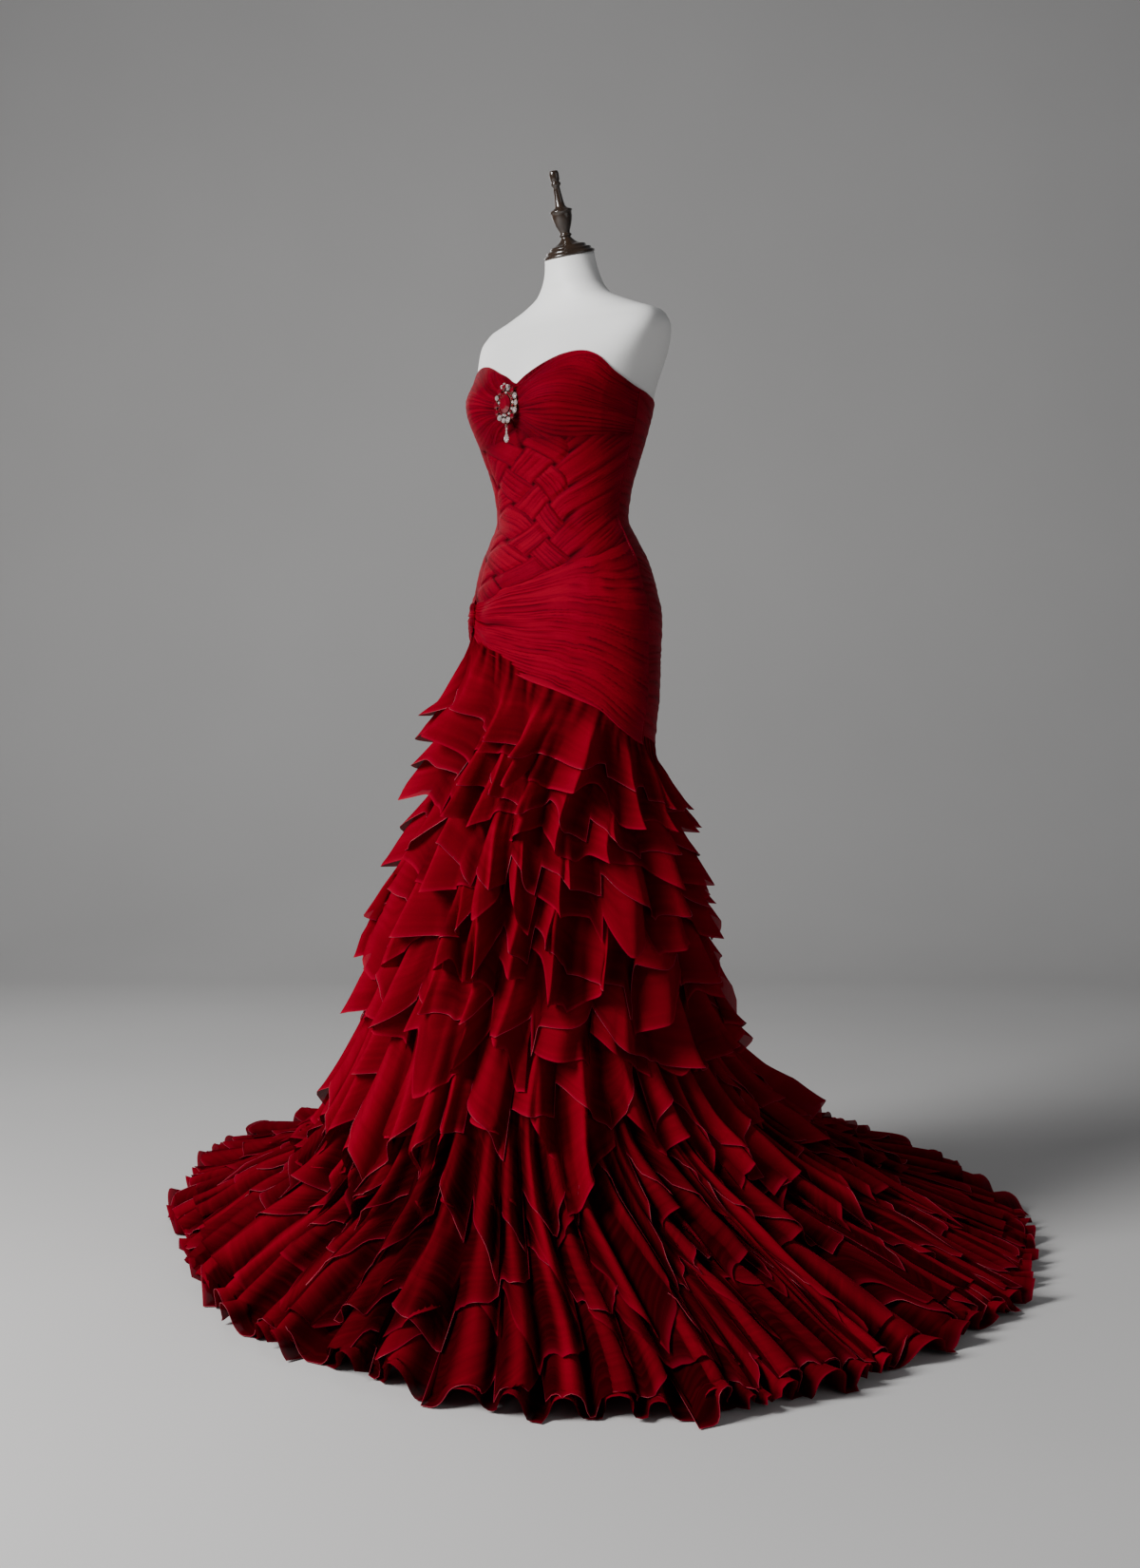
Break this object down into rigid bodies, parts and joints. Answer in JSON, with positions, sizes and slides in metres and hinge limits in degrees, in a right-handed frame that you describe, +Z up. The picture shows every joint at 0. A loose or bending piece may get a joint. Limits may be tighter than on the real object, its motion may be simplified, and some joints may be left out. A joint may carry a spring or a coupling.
{
  "type": "mermaid prom dress on dress form",
  "caption": "Strapless mermaid gown with a pleated bodice, gathered hip drape, tiered flounces and a train, worn by a dress form on a pole stand.",
  "frame": {"origin": "centre of the stand's base on the floor", "axes": "+Z up, the dress faces -Y, the wearer's left is +X"},
  "size_m": [1.8097, 1.7022, 1.7864],
  "materials": {
    "crimson_pleats": "pleated crimson chiffon, soft sheen",
    "crimson_chiffon": "crimson chiffon, slightly sheer",
    "crimson_underskirt": "crimson underskirt, matt",
    "zip_coil": "dyed coil",
    "silver": "polished silver-tone",
    "red_glass": "faceted red stone",
    "form_white": "satin white shell",
    "dark_wood": "dark lacquered wood",
    "steel": "brushed"
  },
  "bodies": {
    "gown_and_form": {"form_torso": "form_white", "form_neck_cap": "dark_wood", "form_pole": "steel", "form_base": "steel", "bust_cup_right": "crimson_pleats", "bust_cup_left": "crimson_pleats", "bodice_front": "crimson_pleats", "bodice_back_left": "crimson_pleats", "bodice_back_right": "crimson_pleats", "hip_drape_left": "crimson_pleats", "hip_drape_right": "crimson_pleats", "hip_knot": "crimson_pleats", "zip_teeth": "zip_coil", "zip_slider": "silver", "brooch_setting": "silver", "brooch_gem": "red_glass", "underskirt_back_left": "crimson_underskirt", "underskirt_back_right": "crimson_underskirt", "underskirt_front_right": "crimson_underskirt", "underskirt_front_left": "crimson_underskirt", "flounce_01": "crimson_chiffon", "flounce_02": "crimson_chiffon", "flounce_03": "crimson_chiffon", "flounce_04": "crimson_chiffon", "flounce_05": "crimson_chiffon", "flounce_06": "crimson_chiffon", "flounce_07": "crimson_chiffon", "flounce_08": "crimson_chiffon", "flounce_09": "crimson_chiffon"},
    "pull": {"zip_pull": "silver"},
    "drop": {"brooch_drop": "silver"}
  },
  "joints": [
    {"name": "zip_pull_swing", "type": "hinge", "parent": "gown_and_form", "child": "pull", "pos_m": [0, 0.11921, 1.374], "axis": [1, 0, 0], "range_deg": [0, 165]},
    {"name": "brooch_drop_swing", "type": "hinge", "parent": "gown_and_form", "child": "drop", "pos_m": [0, -0.134, 1.36278], "axis": [-1, 0, 0], "range_deg": [-20, 90]}
  ]
}
